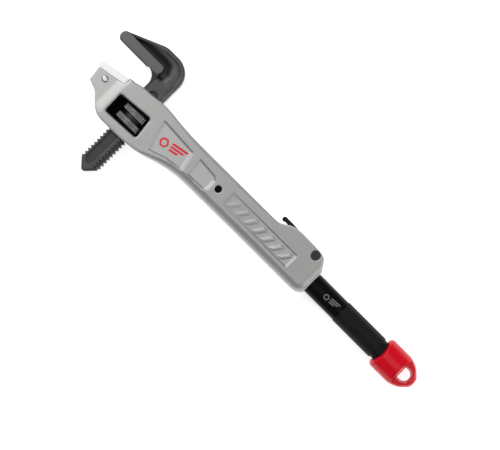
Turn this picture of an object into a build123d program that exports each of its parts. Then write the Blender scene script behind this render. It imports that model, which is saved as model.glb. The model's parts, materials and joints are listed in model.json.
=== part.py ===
"""Adaptable pipe wrench: aluminium housing, hook jaw on a knurled nut, pull-out extension handle.

The wrench lies flat. +X runs along the handle to the end cap, +Y to the hook's side, +Z up.
The origin is under the middle of the whole wrench, on the surface it lies on. Millimetres.
"""

import os
from math import atan2, hypot, pi

from build123d import *

os.makedirs("parts", exist_ok=True)

# Housing
THICKNESS = 36.0
MID = THICKNESS / 2
NOSE_HALF = 15.0
HOUSING_END = 83.25
SKIN = 0.25  # lofted skin stands this far proud before the faces are planed flat

# Shank and nut: both turn about a line along Y
SHANK_X = -158.0
THREAD_R = 12.3
THREAD_ROOT_R = 10.1
THREAD_PITCH = 25.4 / 6
THREAD_SLOPE = 0.75  # axial width per radial depth of one flank
THREAD_ROOT_HALF = 0.3
THREAD_TOP = 27.1
POINT_Y = -73.4
THREAD_FIT = 0.3
NUT_R = 16.5
NUT_LOW = -10.4
NUT_HIGH = 6.6
NUT_PLAY = 1.0
NUT_BORE_R = THREAD_R + THREAD_FIT

# Hook jaw
SHANK_HALF = 9.0
JAW_HALF = 9.2
TOOTH_STRIP_HALF = 9.6
SLOT_HALF = 9.95
JAW_BACK_X = -148.25
JAW_INNER_X = -172.75
THROAT = (-184.75, 34.6)
THROAT_R = 12.0
THROAT_START = (THROAT[0], THROAT[1] + THROAT_R)
THROAT_MIDDLE = (THROAT[0] + THROAT_R * 0.5 ** 0.5, THROAT[1] + THROAT_R * 0.5 ** 0.5)
JAW_CLOSING = 19.0
TOOTH_PITCH = 2.35
TOOTH_DEPTH = 1.1

# Heel jaw pin
HEEL_PIN = (-205.25, 7.1)
HEEL_PIN_R = 2.5

# Extension handle: all on a line along X
AXIS_Y = 9.45
TUBE_R = 11.6
TUBE_BORE_R = 8.6
TUBE_START = -56.75
SLEEVE_START = 124.25
SLEEVE_END = 175.75
SLEEVE_R = 12.25
BORE_R = 11.9
BORE_START = -62.0
BUSH_R = 12.4
BUSH_START = 74.9
STUD_R = 11.0
CAP_R = 17.5
CAP_TIP = 226.75

# Lever
PIVOT = (66.55, 31.0)
PIVOT_R = 2.5
HEAD_R = 4.8
LEVER_HALF = 5.6
LEVER_SLOT_HALF = 6.2
CAM_R = 6.0
CAM_OFFSET = 1.5

handle_axis = Axis((0, AXIS_Y, MID), (1, 0, 0))
handle_plane = Plane(origin=(0, AXIS_Y, MID), x_dir=(1, 0, 0), z_dir=(0, 0, 1))
shank_axis = Axis((SHANK_X, 0, MID), (0, 1, 0))
shank_plane = Plane(origin=(SHANK_X, 0, MID), x_dir=(1, 0, 0), z_dir=(0, 0, 1))


def save(builder, name):
    """Label a finished piece and write its STEP file."""
    builder.part.label = name
    export_step(builder.part, f"parts/{name}.step")


def across(x):
    """Plane across the handle at x: its local x is Y, its local y is Z from mid-thickness."""
    return Plane(origin=(x, 0, MID), x_dir=(0, 1, 0), z_dir=(1, 0, 0))


def along(y):
    """Plane along the handle at y, seen from below: local x is X, local y is Z."""
    return Plane(origin=(0, y, 0), x_dir=(1, 0, 0), z_dir=(0, -1, 0))


def ring(inner, outer, start, end):
    """Section of a ring about the handle's axis, to be revolved."""
    with BuildSketch(handle_plane) as section:
        with Locations(((start + end) / 2, (inner + outer) / 2)):
            Rectangle(end - start, outer - inner)
    return section.sketch


def tooth_line(start, end, depth):
    """Sawtooth points from start towards end, with notches cut to the left of that direction."""
    length = hypot(end[0] - start[0], end[1] - start[1])
    ux, uy = (end[0] - start[0]) / length, (end[1] - start[1]) / length
    points = []
    for tooth in range(int(length / TOOTH_PITCH)):
        for run, sink in ((0.0, 0.0), (0.62, depth)):
            s = (tooth + run) * TOOTH_PITCH
            points.append((start[0] + ux * s - uy * sink, start[1] + uy * s + ux * sink))
    return points + [end]


# --------------------------------------------------------------------------- housing
# Cross-sections down the body: x, low edge, high edge, half thickness, low radius, high radius.
FULL = MID + SKIN
nose_sections = [(-222, -24.4, 26, NOSE_HALF, 2.5, 2.5), (-195, -24.4, 26, NOSE_HALF, 2.5, 2.5)]
nose_step = [nose_sections[-1], (-185, -24.4, 25.8, FULL, 2.5, 2.5)]
body_sections = [
    nose_step[-1],
    (-175, -24.5, 27.6, FULL, 2.5, 2.5),
    (-165, -24.4, 28.6, FULL, 2.5, 2.5),
    (-155, -24.2, 29.5, FULL, 2.5, 2.5),
    (-145, -23.5, 30.7, FULL, 2.5, 2.5),
    (-135, -22.3, 30.5, FULL, 3.2, 2.7),
    (-125, -19.9, 29.5, FULL, 4.5, 3),
    (-115, -16.6, 28.7, FULL, 6, 3.5),
    (-105, -13.8, 28.2, FULL, 7.5, 4),
    (-95, -11.8, 28.0, FULL, 9, 4.5),
    (-85, -10.6, 28.0, FULL, 9.8, 4.9),
    (-75, -10.2, 28.0, FULL, 10, 5),
]
handle_sections = [body_sections[-1], (14, -9.6, 28.2, FULL, 10, 3)]
ramp_sections = [
    handle_sections[-1],
    (18, -9.6, 28.7, FULL, 10, 2.7),
    (22, -9.6, 30.6, FULL, 10, 2.4),
    (26, -9.6, 33.2, FULL, 10, 2.2),
    (30, -9.6, 35.3, FULL, 10, 2),
    (34, -9.6, 36.6, FULL, 10, 2),
    (38, -9.6, 37.2, FULL, 10, 2),
    (42, -9.6, 37.4, FULL, 10, 2),
]
bump_sections = [ramp_sections[-1], (62, -9.6, 37.2, FULL, 10, 2)]
end_sections = [
    bump_sections[-1],
    (68, -9.6, 36.8, FULL, 10, 2),
    (74, -9.3, 34.9, FULL, 10, 2),
    (79, -7.6, 29.4, 16.8, 9.5, 3),
    (HOUSING_END, -4.3, 23.4, 13.6, 8, 5),
]
window_corners = [(-183.75, 7.6), (-145.25, 11.1), (-142.25, -12.9), (-183.25, -14.9)]
# Panels sunk into both faces: (corners at the surface, corners of the floor)
mark_panel = (
    [(-134, 20.1), (-90.2, 17.6), (-85.8, -3.6), (-107, -6.2), (-125, -12.6), (-129.3, 0)],
    [(-132.6, 18.9), (-94.4, 16.6), (-90.2, -3.4), (-107, -5.0), (-124, -11.0), (-127.8, 0)],
)
grip_panel = (
    [(-82.2, 18.0), (-59.8, 16.4), (-54.8, 12.8), (-54.8, 1.4), (-58.0, -1.8), (-80.6, -2.2)],
    [(-81.4, 17.0), (-60.4, 15.4), (-58.6, 12.2), (-58.6, 2.2), (-60.0, -0.9), (-79.8, -1.2)],
)
PANEL_DEPTH = 1.3
BAR_DEPTH = 0.15
BARS = 7

with BuildPart() as housing:
    for sections, straight in (
        (nose_sections, True),
        (nose_step, True),
        (body_sections, False),
        (handle_sections, True),
        (ramp_sections, False),
        (bump_sections, True),
        (end_sections, False),
    ):
        for x, low, high, half, low_radius, high_radius in sections:
            with BuildSketch(across(x)) as section:
                with Locations(((low + high) / 2, 0)):
                    Rectangle(high - low, 2 * half)
                fillet(section.vertices().group_by(Axis.X)[0], low_radius)
                fillet(section.vertices().group_by(Axis.X)[-1], high_radius)
        loft(ruled=straight)
    # plane both faces flat
    with Locations((0, 0, MID)):
        Box(600, 200, THICKNESS, mode=Mode.INTERSECT)
    # front and underside of the nose
    with BuildSketch(Plane.XY):
        with BuildLine():
            Polyline((-178, -40), (-230, -40), (-230, 12), (-218.3, 12), (-216.25, -3.9), (-206.5, -7.4))
            Spline(
                (-206.5, -7.4),
                (-200.6, -12.4),
                (-193, -19.6),
                (-178, -24.5),
                tangents=((1, -0.45), (1, 0)),
            )
            Line((-178, -24.5), (-178, -40))
        make_face()
    extrude(amount=THICKNESS, mode=Mode.SUBTRACT)
    # shelf under the heel jaw
    with BuildSketch(Plane.XY):
        with BuildLine():
            Polyline((-224, 10.53), (-188.75, 17.1), (-186.4, 25.6), (-186.4, 40), (-224, 40), close=True)
        make_face()
    extrude(amount=THICKNESS, mode=Mode.SUBTRACT)
    # slot for the heel jaw's tenon, and its pin hole
    with BuildSketch(Plane.XY.offset(MID)):
        with Locations((-204, 9.5)):
            Rectangle(18, 14)
    extrude(amount=6.05, both=True, mode=Mode.SUBTRACT)
    with BuildSketch(Plane.XY):
        with Locations(HEEL_PIN):
            Circle(HEEL_PIN_R)
    extrude(amount=THICKNESS, mode=Mode.SUBTRACT)
    # nut window with a bevelled rim, and the round room that the nut turns in
    for z, inward in ((0, 1), (THICKNESS, -1)):
        with BuildSketch(Plane.XY.offset(z)) as window:
            with BuildLine():
                Polyline(*window_corners, close=True)
            make_face()
            fillet(window.vertices(), 2.6)
        extrude(amount=inward * MID, mode=Mode.SUBTRACT)
        with BuildSketch(Plane.XY.offset(z)) as bevel:
            with BuildLine():
                Polyline(*window_corners, close=True)
            make_face()
            fillet(bevel.vertices(), 2.6)
            offset(amount=1.2, mode=Mode.REPLACE)
        extrude(amount=inward * 1.2, taper=45, mode=Mode.SUBTRACT)
    with BuildSketch(shank_plane):
        with Locations((0, (NUT_LOW + NUT_HIGH) / 2)):
            Rectangle(2 * (NUT_R + 0.8), NUT_HIGH - NUT_LOW + 2 * NUT_PLAY)
        split(bisect_by=Plane.YZ)
    revolve(axis=shank_axis, mode=Mode.SUBTRACT)
    # passage of the shank, wider above for the spring, and room for the hook's throat
    with BuildSketch(Plane.XY.offset(MID)):
        with BuildLine():
            Polyline((-173.4, -2), (-173.4, 40), (-142.8, 40), (-142.8, -2), close=True)
        make_face()
        with BuildLine():
            Polyline((-172.2, -40), (-172.2, -1), (-145, -1), (-145, -40), close=True)
        make_face()
        with Locations((-179.9, 27.8)):
            Rectangle(13.2, 24.4)
        with Locations((THROAT[0], THROAT[1] - JAW_CLOSING)):
            Circle(THROAT_R - 0.6, mode=Mode.SUBTRACT)
    extrude(amount=SLOT_HALF, both=True, mode=Mode.SUBTRACT)
    # blind hole behind the passage for the coil spring
    with BuildSketch(Plane(origin=(-144, 18, MID), x_dir=(0, 1, 0), z_dir=(1, 0, 0))):
        Circle(4.6)
    extrude(amount=11, mode=Mode.SUBTRACT)
    # sunk panels on both faces
    for z, inward in ((0, 1), (THICKNESS, -1)):
        for surface, floor in (mark_panel, grip_panel):
            for corners, depth in ((surface, 0), (floor, PANEL_DEPTH)):
                with BuildSketch(Plane.XY.offset(z + inward * depth)):
                    with BuildLine():
                        Polyline(*corners, close=True)
                    make_face()
            loft(ruled=True, mode=Mode.SUBTRACT)
        # long sloping panel on the handle, with raised slanted bars
        with BuildSketch(along(1.6)):
            with BuildLine():
                Polyline(
                    (-36, z),
                    (-33, z + inward * 0.4),
                    (52.4, z + inward * PANEL_DEPTH),
                    (54.2, z),
                    close=True,
                )
            make_face()
        extrude(amount=-16.4, mode=Mode.SUBTRACT)
        with BuildSketch(Plane.XY.offset(z + inward * BAR_DEPTH)):
            for bar in range(BARS):
                foot = -31.2 + bar * 12.0
                head = foot + 6.6
                with BuildLine():
                    Polyline((foot, 4.6), (foot + 3.8, 4.6), (head + 3.8, 13.8), (head, 13.8), close=True)
                make_face()
        extrude(amount=inward * (PANEL_DEPTH + 0.4 - BAR_DEPTH))
    # bore of the extension handle with its bush seat, and the witness hole into it
    with BuildSketch(handle_plane):
        with BuildLine():
            Polyline(
                (BORE_START, 0),
                (BORE_START, BORE_R),
                (BUSH_START, BORE_R),
                (BUSH_START, BUSH_R),
                (HOUSING_END + 1, BUSH_R),
                (HOUSING_END + 1, 0),
                close=True,
            )
        make_face()
    revolve(axis=handle_axis, mode=Mode.SUBTRACT)
    with BuildSketch(Plane.XY):
        with Locations((-48.25, 9.1)):
            Circle(3.7)
    extrude(amount=THICKNESS, mode=Mode.SUBTRACT)
    # lever slot with its cam pocket, and the shoe's pocket down to the bore
    with BuildSketch(Plane.XY.offset(MID)):
        with BuildLine():
            Polyline((10, 29.4), (62, 29.4), (62, 45), (10, 45), close=True)
        make_face()
        with Locations(PIVOT):
            Circle(8.2)
        with Locations((PIVOT[0], PIVOT[1] + 7)):
            Rectangle(16.4, 14)
        with Locations((PIVOT[0], 24)):
            Rectangle(13.6, 12)
    extrude(amount=LEVER_SLOT_HALF, both=True, mode=Mode.SUBTRACT)
    # pivot screw: through hole, counterbore above, barrel nut's seat below
    for radius, start, depth in ((2.6, 0, THICKNESS), (5.0, 30.7, 6), (4.9, 0, 3.5), (3.6, 0, 9.5)):
        with BuildSketch(Plane.XY.offset(start)):
            with Locations(PIVOT):
                Circle(radius)
        extrude(amount=depth, mode=Mode.SUBTRACT)
save(housing, "housing")


# --------------------------------------------------------------------------- fixed to the housing
with BuildPart() as heel_jaw:
    with BuildSketch(Plane.XY.offset(MID)):
        with BuildLine():
            Polyline(
                (-218.25, 11.65),
                *tooth_line((-220.2, 18.6), (-187.4, 25.0), -TOOTH_DEPTH),
                (-188.85, 17.12),
                close=True,
            )
        make_face()
    extrude(amount=NOSE_HALF - 0.2, both=True)
    # tenon down into the nose, drilled for the pin
    with BuildSketch(Plane.XY.offset(MID)):
        with BuildLine():
            Polyline((-212, 3), (-196, 3), (-196, 17), (-212, 14), close=True)
        make_face()
    extrude(amount=5.95, both=True)
    with BuildSketch(Plane.XY):
        with Locations(HEEL_PIN):
            Circle(HEEL_PIN_R)
    extrude(amount=THICKNESS, mode=Mode.SUBTRACT)
save(heel_jaw, "heel_jaw")

# Pin with a polished dome on each face of the nose
DOME_R = 3.5
DOME_RISE = 1.7
with BuildPart() as heel_jaw_pin:
    with BuildSketch(Plane.XY.offset(MID)):
        with Locations(HEEL_PIN):
            Circle(HEEL_PIN_R)
    extrude(amount=NOSE_HALF + DOME_RISE / 2, both=True)
    for side in (-1, 1):
        with BuildSketch(Plane.XY.offset(MID + side * NOSE_HALF)):
            with Locations(HEEL_PIN):
                Circle(DOME_R)
        extrude(amount=side * DOME_RISE)
    rims = heel_jaw_pin.edges().filter_by(GeomType.CIRCLE).sort_by(Axis.Z)
    fillet([rims[0], rims[-1]], 1.5)
save(heel_jaw_pin, "heel_jaw_pin")

# Black lining of the window: a frame round the nut with a solid web on its nose side
with BuildPart() as window_liner:
    with BuildSketch(Plane.XY.offset(1.3)) as liner_outline:
        with BuildLine():
            Polyline(*window_corners, close=True)
        make_face()
        fillet(liner_outline.vertices(), 2.6)
    extrude(amount=THICKNESS - 2.6)
    with BuildSketch(Plane.XY) as liner_opening:
        with BuildLine():
            Polyline((-176, 6.4), (-147.6, 8.3), (-145.0, -10.4), (-176, -12.0), close=True)
        make_face()
    extrude(amount=THICKNESS, mode=Mode.SUBTRACT)
    # the web is sunk below the frame on both faces
    for z, inward in ((0, 1), (THICKNESS, -1)):
        with BuildSketch(Plane.XY.offset(z)):
            with BuildLine():
                Polyline((-181.4, 5.3), (-175, 5.9), (-175, -12.2), (-181.0, -12.5), close=True)
            make_face()
        extrude(amount=inward * 8, mode=Mode.SUBTRACT)
    # lip under the nut's edge, so that no light shows past it
    with BuildSketch(Plane.XY.offset(3.5)):
        with BuildLine():
            Polyline((-181.6, 6.2), (-170.8, 7.0), (-170.8, -12.0), (-181.2, -12.7), close=True)
        make_face()
    extrude(amount=4.7)
    with BuildSketch(shank_plane):
        with Locations((0, (NUT_LOW + NUT_HIGH) / 2)):
            Rectangle(2 * (NUT_R + 0.8), NUT_HIGH - NUT_LOW + 2 * NUT_PLAY)
        split(bisect_by=Plane.YZ)
    revolve(axis=shank_axis, mode=Mode.SUBTRACT)
    with BuildSketch(Plane.XY.offset(MID)):
        with Locations(((-173.4 - 142.8) / 2, 0)):
            Rectangle(30.6, 80)
    extrude(amount=SLOT_HALF, both=True, mode=Mode.SUBTRACT)
save(window_liner, "window_liner")

with BuildPart() as mouth_bush:
    revolve(ring(TUBE_R + 0.05, BUSH_R, BUSH_START, HOUSING_END - 2.0), axis=handle_axis)
save(mouth_bush, "mouth_bush")

with BuildPart() as wiper_ring:
    revolve(ring(TUBE_R + 0.1, BUSH_R, HOUSING_END - 2.0, HOUSING_END - 0.2), axis=handle_axis)
save(wiper_ring, "wiper_ring")

with BuildPart() as bore_bumper:
    with BuildSketch(across(BORE_START)):
        with Locations((AXIS_Y, 0)):
            Circle(BORE_R - 0.2)
            Circle(3, mode=Mode.SUBTRACT)
    extrude(amount=2.5)
save(bore_bumper, "bore_bumper")

# Socket-head pivot screw
with BuildPart() as lever_pivot_screw:
    with BuildSketch(Plane.XY.offset(2.5)):
        with Locations(PIVOT):
            Circle(PIVOT_R)
    extrude(amount=30.7 - 2.5)
    with BuildSketch(Plane.XY.offset(30.7)):
        with Locations(PIVOT):
            Circle(HEAD_R)
    extrude(amount=4.9)
    chamfer(lever_pivot_screw.faces().sort_by(Axis.Z)[-1].edges(), 0.5)
    with BuildSketch(Plane.XY.offset(35.6)):
        with Locations(PIVOT):
            RegularPolygon(radius=2.9, side_count=6)
    extrude(amount=-2.8, mode=Mode.SUBTRACT)
save(lever_pivot_screw, "lever_pivot_screw")

with BuildPart() as pivot_barrel_nut:
    for radius, start, depth in ((4.8, 0.6, 2.9), (3.55, 3.5, 5.9)):
        with BuildSketch(Plane.XY.offset(start)):
            with Locations(PIVOT):
                Circle(radius)
        extrude(amount=depth)
    with BuildSketch(Plane.XY):
        with Locations(PIVOT):
            Circle(PIVOT_R)
    extrude(amount=12, mode=Mode.SUBTRACT)
    # screwdriver slot
    with BuildSketch(Plane.XY.offset(0.6)):
        with Locations(PIVOT):
            Rectangle(12, 1.4)
    extrude(amount=1.2, mode=Mode.SUBTRACT)
save(pivot_barrel_nut, "pivot_barrel_nut")

# Torsion spring round the pivot screw: one leg in the cam pocket, one pressing the lever down
SPRING_WIRE_R = 0.42
SPRING_LEG = 6.8
with BuildPart() as lever_spring:
    with BuildLine() as spring_wire:
        turns = Helix(pitch=1.0, height=2.5, radius=3.3, center=(*PIVOT, MID + 2.9))
        Line(turns @ 0 - (turns % 0) * SPRING_LEG, turns @ 0)
        Line(turns @ 1, turns @ 1 + (turns % 1) * SPRING_LEG)
    path = spring_wire.wires()[0]
    with BuildSketch(Plane(origin=path @ 0, z_dir=path % 0)):
        Circle(SPRING_WIRE_R)
    sweep(path=path)
lever_spring.part = lever_spring.part.rotate(Axis((*PIVOT, 0), (0, 0, 1)), -90)
save(lever_spring, "lever_spring")

# Coil spring in its blind hole behind the shank
with BuildPart() as coil_spring:
    with BuildLine() as coil:
        Helix(pitch=1.9, height=9.0, radius=3.4, center=(-142.7, 18, MID), direction=(1, 0, 0))
    with BuildSketch(Plane(origin=coil.line @ 0, z_dir=coil.line % 0)):
        Circle(0.6)
    sweep(is_frenet=True)
save(coil_spring, "coil_spring")

# --------------------------------------------------------------------------- rocking spring leaf
with BuildPart() as flat_spring:
    with BuildSketch(Plane.XY.offset(MID)):
        with BuildLine():
            Polyline(
                (-145.3, 8.6),
                (-144.5, 8.6),
                (-144.5, 25.8),
                (-144.35, 27.2),
                (-144.7, 27.6),
                (-145.3, 26),
                close=True,
            )
        make_face()
    extrude(amount=7, both=True)
save(flat_spring, "flat_spring")

# --------------------------------------------------------------------------- hook jaw
# The nut's thread begins at this height, at the angle where its helix begins.
RIDGE_START = NUT_LOW + 2.3
nut_helix = Helix(
    pitch=THREAD_PITCH,
    height=NUT_HIGH - NUT_LOW - 4.6,
    radius=NUT_BORE_R,
    center=(SHANK_X, RIDGE_START, MID),
    direction=(0, 1, 0),
)
helix_start = nut_helix @ 0
thread_phase = helix_start.Y - THREAD_PITCH * atan2(helix_start.X - SHANK_X, helix_start.Z - MID) / (2 * pi)
thread_tilt = THREAD_PITCH / (2 * pi * (THREAD_R + THREAD_ROOT_R) / 2)

with BuildPart() as hook_jaw:
    # threaded bar: a cylinder planed flat on both faces, with a bevelled point
    with BuildSketch(Plane(origin=(SHANK_X, POINT_Y, MID), x_dir=(1, 0, 0), z_dir=(0, 1, 0))):
        Circle(THREAD_R)
        Rectangle(40, 2 * SHANK_HALF, mode=Mode.INTERSECT)
    extrude(amount=THREAD_TOP - POINT_Y)
    with BuildSketch(shank_plane):
        with BuildLine():
            Polyline((13, -60.9), (2.4, POINT_Y + 1))
            ThreePointArc((2.4, POINT_Y + 1), (0, POINT_Y), (-2.4, POINT_Y + 1))
            Polyline((-2.4, POINT_Y + 1), (-13, -60.9), (-13, -80), (13, -80), (13, -60.9))
        make_face()
    extrude(amount=20, both=True, mode=Mode.SUBTRACT)
    for side in (-1, 1):
        level = MID + side * SHANK_HALF
        point_edges = hook_jaw.edges().filter_by_position(Axis.Y, -80, -60)
        chamfer(point_edges.filter_by_position(Axis.Z, level - 0.05, level + 0.05), 2.0)
    # thread: half-ring grooves, tilted to the helix, half a pitch apart on the two edges
    for side, quarter in ((1, 0.25), (-1, 0.75)):
        tilt = side * thread_tilt
        first = thread_phase + THREAD_PITCH * quarter
        lowest = int((-64 - first) / THREAD_PITCH)
        highest = int((THREAD_TOP - 2 - first) / THREAD_PITCH)
        for groove in range(lowest, highest + 1):
            centre = (SHANK_X, first + groove * THREAD_PITCH, MID)
            with BuildSketch(Plane(origin=centre, x_dir=(0, -tilt * side, side), z_dir=(-side, 0, 0))):
                with BuildLine():
                    Polyline(
                        (THREAD_ROOT_R, -THREAD_ROOT_HALF),
                        (THREAD_ROOT_R, THREAD_ROOT_HALF),
                        (THREAD_ROOT_R + 3, THREAD_ROOT_HALF + 3 * THREAD_SLOPE),
                        (THREAD_ROOT_R + 3, -THREAD_ROOT_HALF - 3 * THREAD_SLOPE),
                        close=True,
                    )
                make_face()
            revolve(axis=Axis(centre, (0, 1, tilt)), revolution_arc=180, mode=Mode.SUBTRACT)
    # upper shank and hook
    with BuildSketch(Plane.XY.offset(MID)) as hook_outline:
        with BuildLine():
            Polyline(
                (JAW_INNER_X, THROAT[1]),
                (JAW_INNER_X, THREAD_TOP),
                (JAW_BACK_X, THREAD_TOP),
                (JAW_BACK_X, 53.4),
            )
            RadiusArc((JAW_BACK_X, 53.4), (-168.5, 73.6), -20.2)
            Line((-168.5, 73.6), (-178.75, 73.6))
            ThreePointArc((-178.75, 73.6), (-183.9, 73.1), (-188.75, 71.4))
            Line((-188.75, 71.4), (-222.6, 57.0))
            ThreePointArc((-222.6, 57.0), (-226.75, 51.4), (-224.4, 46.6))
            Polyline(*tooth_line((-224.4, 46.6), THROAT_START, -TOOTH_DEPTH))
            ThreePointArc(THROAT_START, THROAT_MIDDLE, (JAW_INNER_X, THROAT[1]))
        make_face()
    extrude(amount=JAW_HALF, both=True)
    long_edges = hook_jaw.edges().filter_by_position(Axis.Y, 28, 80).filter_by(lambda edge: edge.length > 5)
    for side in (-1, 1):
        face_edges = long_edges.filter_by_position(
            Axis.Z, MID + side * JAW_HALF - 0.05, MID + side * JAW_HALF + 0.05
        )
        fillet(face_edges, 1.4)
    for side in (-1, 1):
        # web sunk between the tooth strip and the rim, ending where the upper shank begins
        with BuildSketch(Plane.XY.offset(MID + side * JAW_HALF)) as web:
            with BuildLine():
                Polyline((-211, 58.4), (-175.5, 58.4))
                RadiusArc((-175.5, 58.4), (-169, 51.9), 6.5)
                Polyline((-169, 51.9), (-168.6, 46.4), (-161.0, 44.4), (-154.6, 49.0), (-153.6, 53.4))
                RadiusArc((-153.6, 53.4), (-168.5, 68.6), -15.2)
                Line((-168.5, 68.6), (-178.75, 68.6))
                ThreePointArc((-178.75, 68.6), (-183, 68.3), (-187, 67.2))
                Line((-187, 67.2), (-211, 58.4))
            make_face()
        extrude(amount=-side * 2.0, taper=30, mode=Mode.SUBTRACT)
        # machined tooth strip, a little proud of the forging
        with BuildSketch(Plane.XY.offset(MID)):
            with BuildLine():
                Polyline((-175.5, 57.1), (-222.4, 57.1))
                ThreePointArc((-222.4, 57.1), (-226.75, 51.4), (-224.4, 46.6))
                Polyline((-224.4, 46.6), (-175.5, 46.6))
                ThreePointArc((-175.5, 46.6), (-170.25, 51.85), (-175.5, 57.1))
            make_face()
        extrude(amount=side * TOOTH_STRIP_HALF)
        # long round-ended channel down the shank
        with BuildSketch(Plane.XY.offset(MID + side * JAW_HALF)):
            with Locations((-160.2, -15.4)):
                SlotOverall(97.2, 9.6, rotation=90)
        extrude(amount=-side * 2.5, mode=Mode.SUBTRACT)
save(hook_jaw, "hook_jaw")

# --------------------------------------------------------------------------- adjusting nut
KNURLS = 40
GROOVE_LOW = -4.4
GROOVE_HIGH = 0.6
GROOVE_R = 14.3
with BuildPart() as adjusting_nut:
    with BuildSketch(shank_plane):
        with BuildLine():
            Polyline(
                (NUT_BORE_R, NUT_LOW),
                (NUT_R - 0.7, NUT_LOW),
                (NUT_R, NUT_LOW + 0.7),
                (NUT_R, GROOVE_LOW - 0.4),
                (GROOVE_R, GROOVE_LOW + 0.4),
                (GROOVE_R, GROOVE_HIGH - 0.4),
                (NUT_R, GROOVE_HIGH + 0.4),
                (NUT_R, NUT_HIGH - 0.7),
                (NUT_R - 0.7, NUT_HIGH),
                (NUT_BORE_R, NUT_HIGH),
                close=True,
            )
        make_face()
    revolve(axis=shank_axis)
    # square knurl: flutes along both bands, crossed by ring grooves
    with BuildSketch(Plane(origin=(SHANK_X, NUT_LOW, MID), x_dir=(1, 0, 0), z_dir=(0, 1, 0))):
        with PolarLocations(NUT_R + 0.1, KNURLS):
            Rectangle(1.1, 1.1, rotation=45)
    extrude(amount=NUT_HIGH - NUT_LOW, mode=Mode.SUBTRACT)
    with BuildSketch(shank_plane):
        for band_low in (NUT_LOW, GROOVE_HIGH):
            for line in range(2):
                with Locations((NUT_R + 0.1, band_low + 2.0 + 2.0 * line)):
                    Rectangle(1.1, 1.1, rotation=45)
    revolve(axis=shank_axis, mode=Mode.SUBTRACT)
    # round dimples in the middle groove
    for dimple in range(6):
        spot = Plane(origin=(SHANK_X, (GROOVE_LOW + GROOVE_HIGH) / 2, MID), x_dir=(0, 1, 0), z_dir=(0, 0, 1))
        spot = spot.rotated((dimple * 60 + 30, 0, 0))
        with BuildSketch(spot.offset(GROOVE_R + 0.5)):
            SlotOverall(7.0, 3.0, rotation=90)
        extrude(amount=-1.3, mode=Mode.SUBTRACT)
    # internal thread: one ridge with working clearance to the shank's grooves
    ridge_base = NUT_BORE_R - THREAD_ROOT_R
    flank_fit = 1.25 * THREAD_FIT
    with BuildLine():
        add(nut_helix)
    outward = (helix_start - Vector(SHANK_X, helix_start.Y, MID)).normalized()
    with BuildSketch(Plane(origin=helix_start, x_dir=outward, z_dir=outward.cross(Vector(0, 1, 0)))):
        with BuildLine():
            Polyline(
                (0.3, THREAD_ROOT_HALF + THREAD_SLOPE * (ridge_base + 0.3) - flank_fit),
                (THREAD_FIT - ridge_base, THREAD_ROOT_HALF + THREAD_SLOPE * THREAD_FIT - flank_fit),
                (THREAD_FIT - ridge_base, -THREAD_ROOT_HALF - THREAD_SLOPE * THREAD_FIT + flank_fit),
                (0.3, -THREAD_ROOT_HALF - THREAD_SLOPE * (ridge_base + 0.3) + flank_fit),
                close=True,
            )
        make_face()
    sweep(is_frenet=True)
save(adjusting_nut, "adjusting_nut")

# --------------------------------------------------------------------------- release lever
cam_y = PIVOT[1] - CAM_OFFSET
with BuildPart() as release_lever:
    with BuildSketch(Plane.XY.offset(MID)) as lever_side:
        with BuildLine():
            ThreePointArc((19.4, 37.7), (17.3, 36.0), (21.6, 33.3))
            Polyline((21.6, 33.3), (27, 33.2), (50, 31.2), (59.5, 30.0), (PIVOT[0] - CAM_R, cam_y))
            ThreePointArc((PIVOT[0] - CAM_R, cam_y), (PIVOT[0], cam_y - CAM_R), (PIVOT[0] + CAM_R, cam_y))
            ThreePointArc((PIVOT[0] + CAM_R, cam_y), (PIVOT[0] + 4.2, cam_y + 4.3), (PIVOT[0], cam_y + CAM_R))
            Polyline((PIVOT[0], cam_y + CAM_R), (52, 36.5), (30, 37.6), (19.4, 37.7))
        make_face()
    extrude(amount=LEVER_HALF, both=True)
    fillet(release_lever.edges().filter_by_position(Axis.X, 17, 26).filter_by(Axis.Z), 0.6)
    # room beside the cam for the torsion spring
    with BuildSketch(Plane.XY.offset(MID + 2.2)):
        with Locations(PIVOT):
            Circle(9.5)
    extrude(amount=LEVER_HALF, mode=Mode.SUBTRACT)
    with BuildSketch(Plane.XY):
        with Locations(PIVOT):
            Circle(PIVOT_R + 0.05)
    extrude(amount=THICKNESS, mode=Mode.SUBTRACT)
save(release_lever, "release_lever")

with BuildPart() as lock_shoe:
    with BuildSketch(Plane.XY.offset(MID)):
        with Locations((PIVOT[0], 21.15)):
            Rectangle(13.0, 4.1)
    extrude(amount=5.9, both=True)
    with BuildSketch(across(PIVOT[0] - 10)):
        with Locations((AXIS_Y, 0)):
            Circle(TUBE_R + 0.06)
    extrude(amount=20, mode=Mode.SUBTRACT)
save(lock_shoe, "lock_shoe")

# --------------------------------------------------------------------------- extension handle
with BuildPart() as extension_tube:
    revolve(ring(TUBE_BORE_R, TUBE_R, TUBE_START, SLEEVE_END), axis=handle_axis)
save(extension_tube, "extension_tube")

with BuildPart() as tube_plug:
    with BuildSketch(across(TUBE_START - 1.6)):
        with Locations((AXIS_Y, 0)):
            Circle(TUBE_R - 0.6)
    extrude(amount=1.6)
    with BuildSketch(across(TUBE_START)):
        with Locations((AXIS_Y, 0)):
            Circle(TUBE_BORE_R)
    extrude(amount=13)
save(tube_plug, "tube_plug")

with BuildPart() as grip_sleeve:
    revolve(ring(TUBE_R, SLEEVE_R, SLEEVE_START, SLEEVE_END), axis=handle_axis)
    chamfer(grip_sleeve.edges().filter_by(GeomType.CIRCLE).group_by(Axis.X)[-1][0], 0.3)
save(grip_sleeve, "grip_sleeve")

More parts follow.
